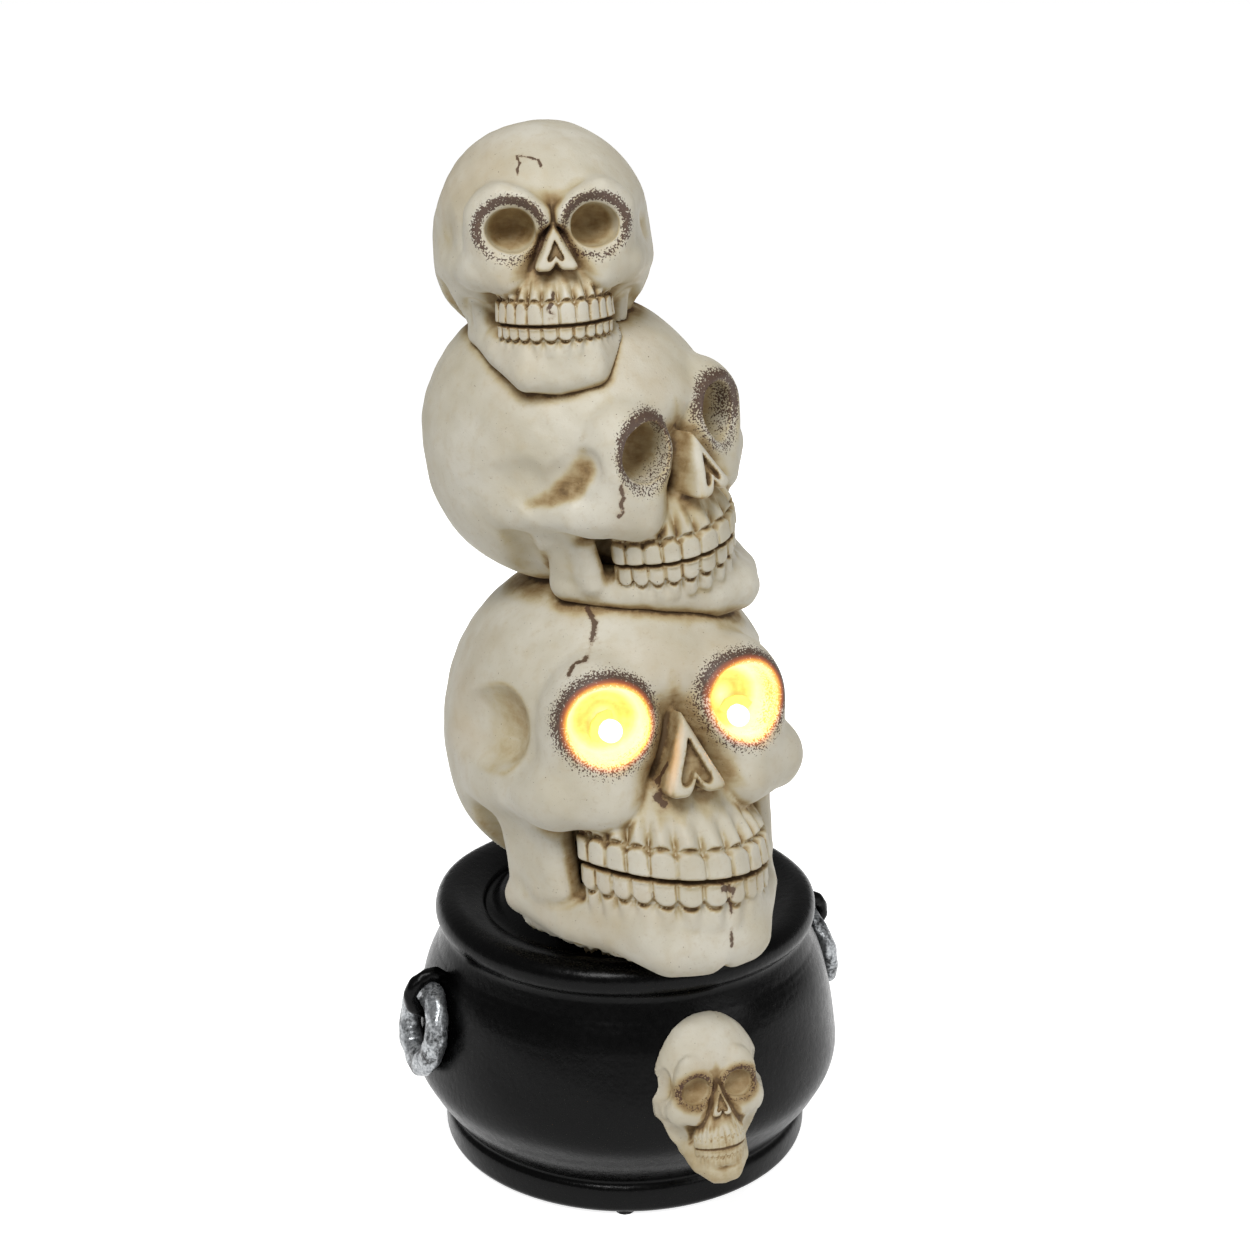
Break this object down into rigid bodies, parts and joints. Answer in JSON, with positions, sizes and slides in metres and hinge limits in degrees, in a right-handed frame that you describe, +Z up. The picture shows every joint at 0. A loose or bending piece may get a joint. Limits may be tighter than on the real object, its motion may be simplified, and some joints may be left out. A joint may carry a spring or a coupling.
{
  "type": "halloween skull decoration",
  "caption": "Halloween table decoration: cast skulls stacked in a black cauldron, with battery-lit amber eyes, ring handles, a small skull medallion and a battery door underneath.",
  "frame": {"origin": "on the floor, below the middle of the whole decoration", "axes": "-Y is the front, where the lowest skull faces and the medallion is, +X is the viewer's right, +Z is up"},
  "size_m": [0.1694, 0.1745, 0.3846],
  "materials": {
    "painted_bone": "cream paint with a brown wash over cast magnesia or resin",
    "black_paint": "satin-gloss black paint over cast magnesia or resin",
    "silver_paint": "patchy silver paint over black",
    "amber_lamp": "clear amber lens",
    "dark_plastic": "fine moulded texture",
    "grey_plastic": "moulded",
    "steel": "plated",
    "cell_skin": "plain printed sleeve with no text",
    "board_green": "satin",
    "rubber": "matte",
    "lead_red": "smooth insulation"
  },
  "bodies": {
    "base": {"skull_lower": "painted_bone", "skull_middle": "painted_bone", "skull_top": "painted_bone", "join_tube_lower": "grey_plastic", "join_tube_upper": "grey_plastic", "cauldron_body": "black_paint", "foot_pad_1": "rubber", "foot_pad_2": "rubber", "foot_pad_3": "rubber", "foot_pad_4": "rubber", "brew_filling": "black_paint", "skull_medallion": "painted_bone", "ring_handle_left": "silver_paint", "ring_handle_right": "silver_paint", "ring_lug_left": "black_paint", "ring_lug_right": "black_paint", "led_holder_left": "dark_plastic", "led_holder_right": "dark_plastic", "led_left": "amber_lamp", "led_right": "amber_lamp", "led_lead_left": "lead_red", "led_lead_right": "lead_red", "bottom_cover": "dark_plastic", "cover_screw_1": "steel", "cover_screw_2": "steel", "cover_screw_3": "steel", "cover_screw_4": "steel", "battery_case": "dark_plastic", "battery_1": "cell_skin", "battery_2": "cell_skin", "battery_3": "cell_skin", "contact_plate_1": "steel", "contact_plate_2": "steel", "contact_plate_3": "steel", "contact_spring_1": "steel", "contact_spring_2": "steel", "contact_spring_3": "steel", "switch_body": "grey_plastic", "timer_board": "board_green", "timer_chip": "dark_plastic", "board_screw_1": "steel", "board_screw_2": "steel"},
    "door": {"battery_door": "dark_plastic"},
    "slider": {"switch_slider": "dark_plastic"}
  },
  "joints": [
    {"name": "battery_door_hinge", "type": "hinge", "parent": "base", "child": "door", "pos_m": [0, 0.0296, 0.0045], "axis": [1, 0, 0], "range_deg": [0, 100]},
    {"name": "switch_slide", "type": "slide", "parent": "base", "child": "slider", "axis": [1, 0, 0], "range_m": [0, 0.0036]}
  ]
}
